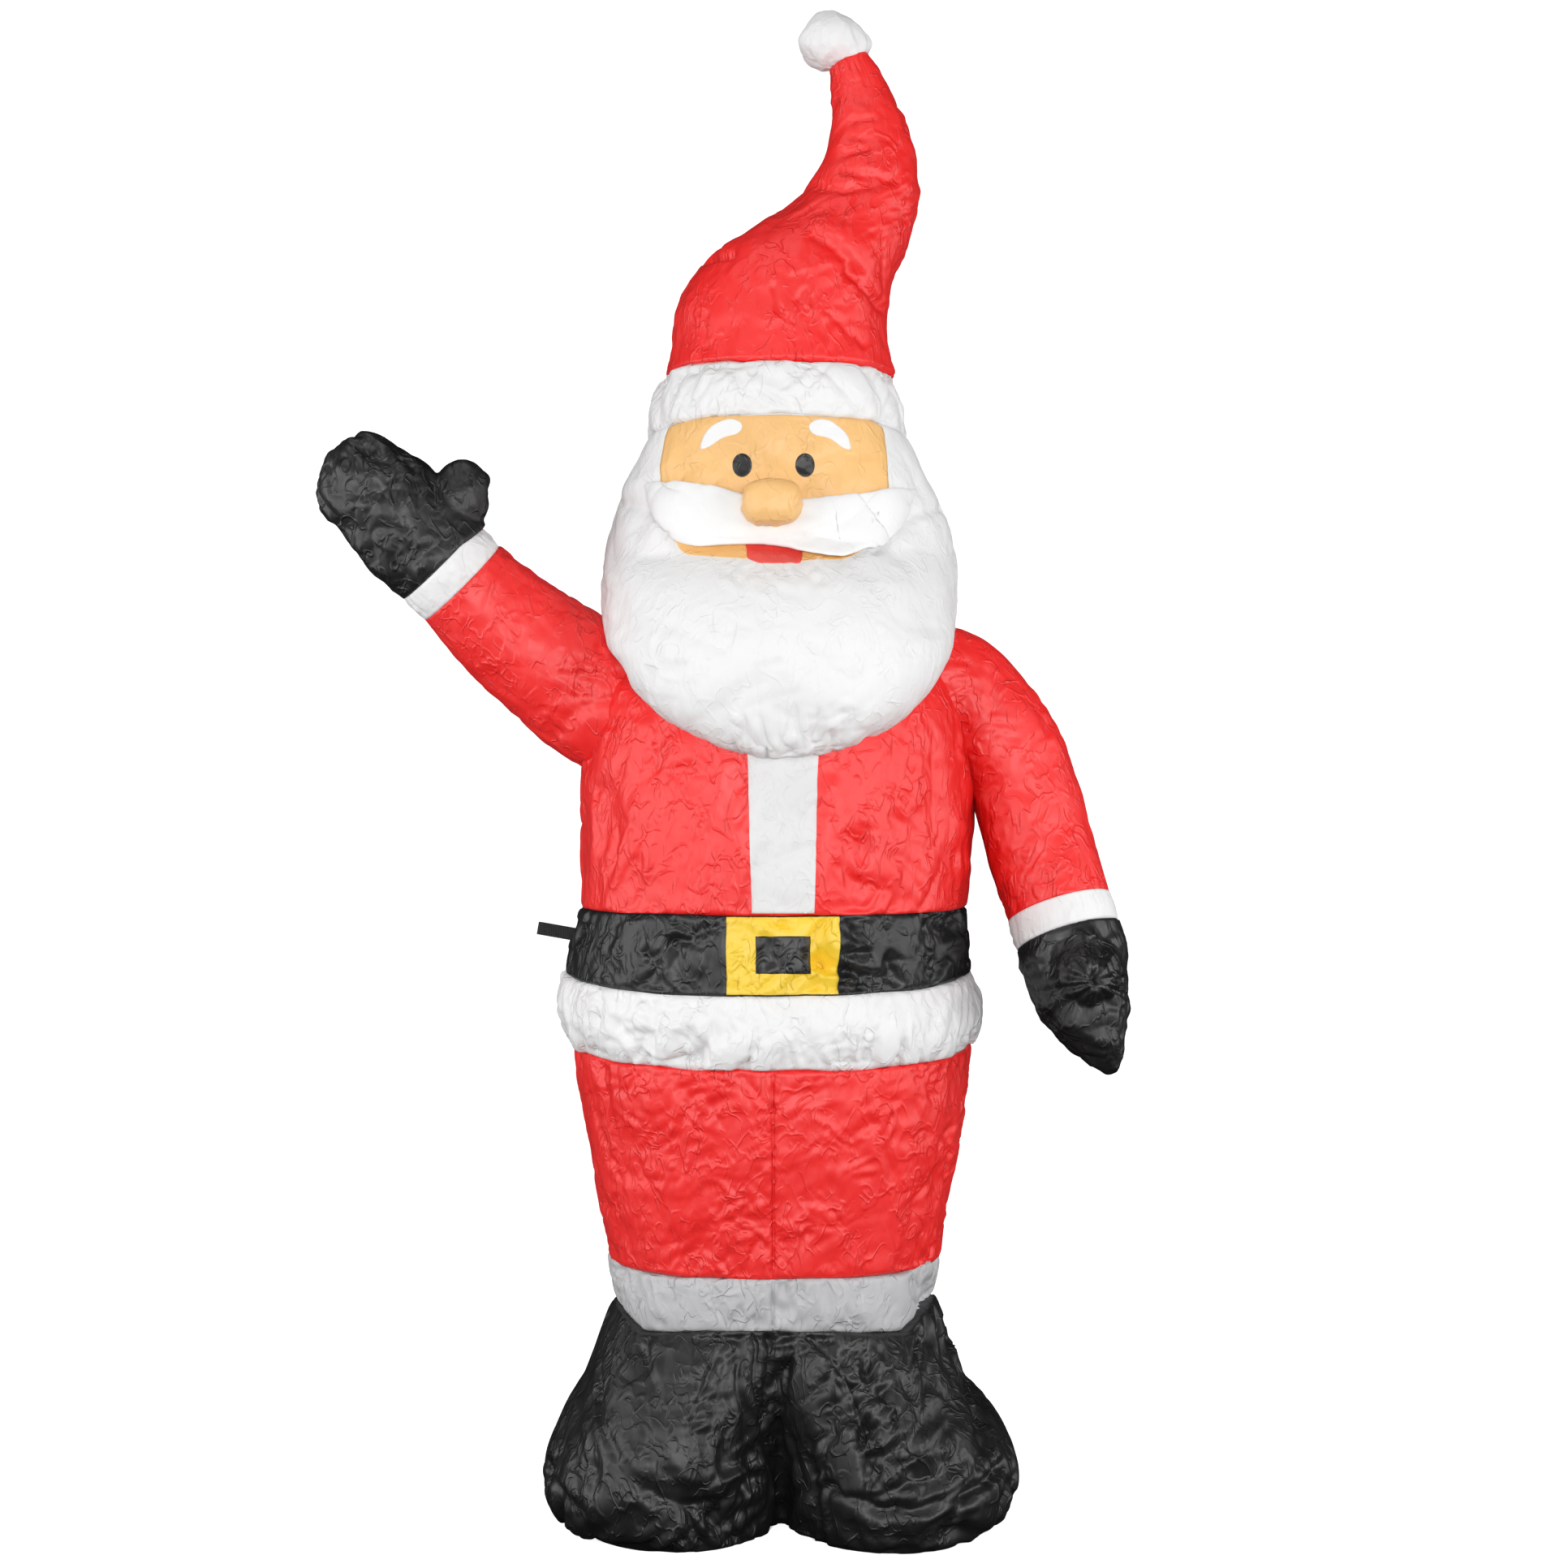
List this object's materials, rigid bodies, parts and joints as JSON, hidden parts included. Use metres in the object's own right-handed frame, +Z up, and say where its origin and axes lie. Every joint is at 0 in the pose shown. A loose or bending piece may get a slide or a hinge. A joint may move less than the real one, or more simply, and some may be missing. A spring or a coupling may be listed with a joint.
{
  "type": "inflatable santa",
  "caption": "Standing air-filled fabric figure of Father Christmas with one arm raised, a tall hat, a wide belt and webbing loops for guy ropes.",
  "frame": {"origin": "on the ground under the middle of the boots, on the flat underside", "axes": "+Z up along the figure's height, the figure looks along -Y, and its raised right hand is at -X"},
  "size_m": [1.2597, 0.6506, 2.3974],
  "materials": {
    "red_cloth": "satin",
    "white_cloth": "satin",
    "black_cloth": "satin",
    "yellow_cloth": "satin",
    "skin_cloth": "satin",
    "black_webbing": "matte"
  },
  "bodies": {
    "root": {"boots": "black_cloth", "trouser_hem": "white_cloth", "trousers": "red_cloth", "coat_trim": "white_cloth", "belt": "black_cloth", "buckle": "yellow_cloth", "coat": "red_cloth", "front_band": "white_cloth", "right_sleeve": "red_cloth", "left_sleeve": "red_cloth", "right_cuff": "white_cloth", "left_cuff": "white_cloth", "right_mitten": "black_cloth", "left_mitten": "black_cloth", "beard": "white_cloth", "face": "skin_cloth", "moustache": "white_cloth", "nose": "skin_cloth", "hat_brim": "white_cloth", "hat": "red_cloth", "bobble": "white_cloth", "right_tether_loop": "black_webbing", "left_tether_loop": "black_webbing"}
  },
  "joints": []
}
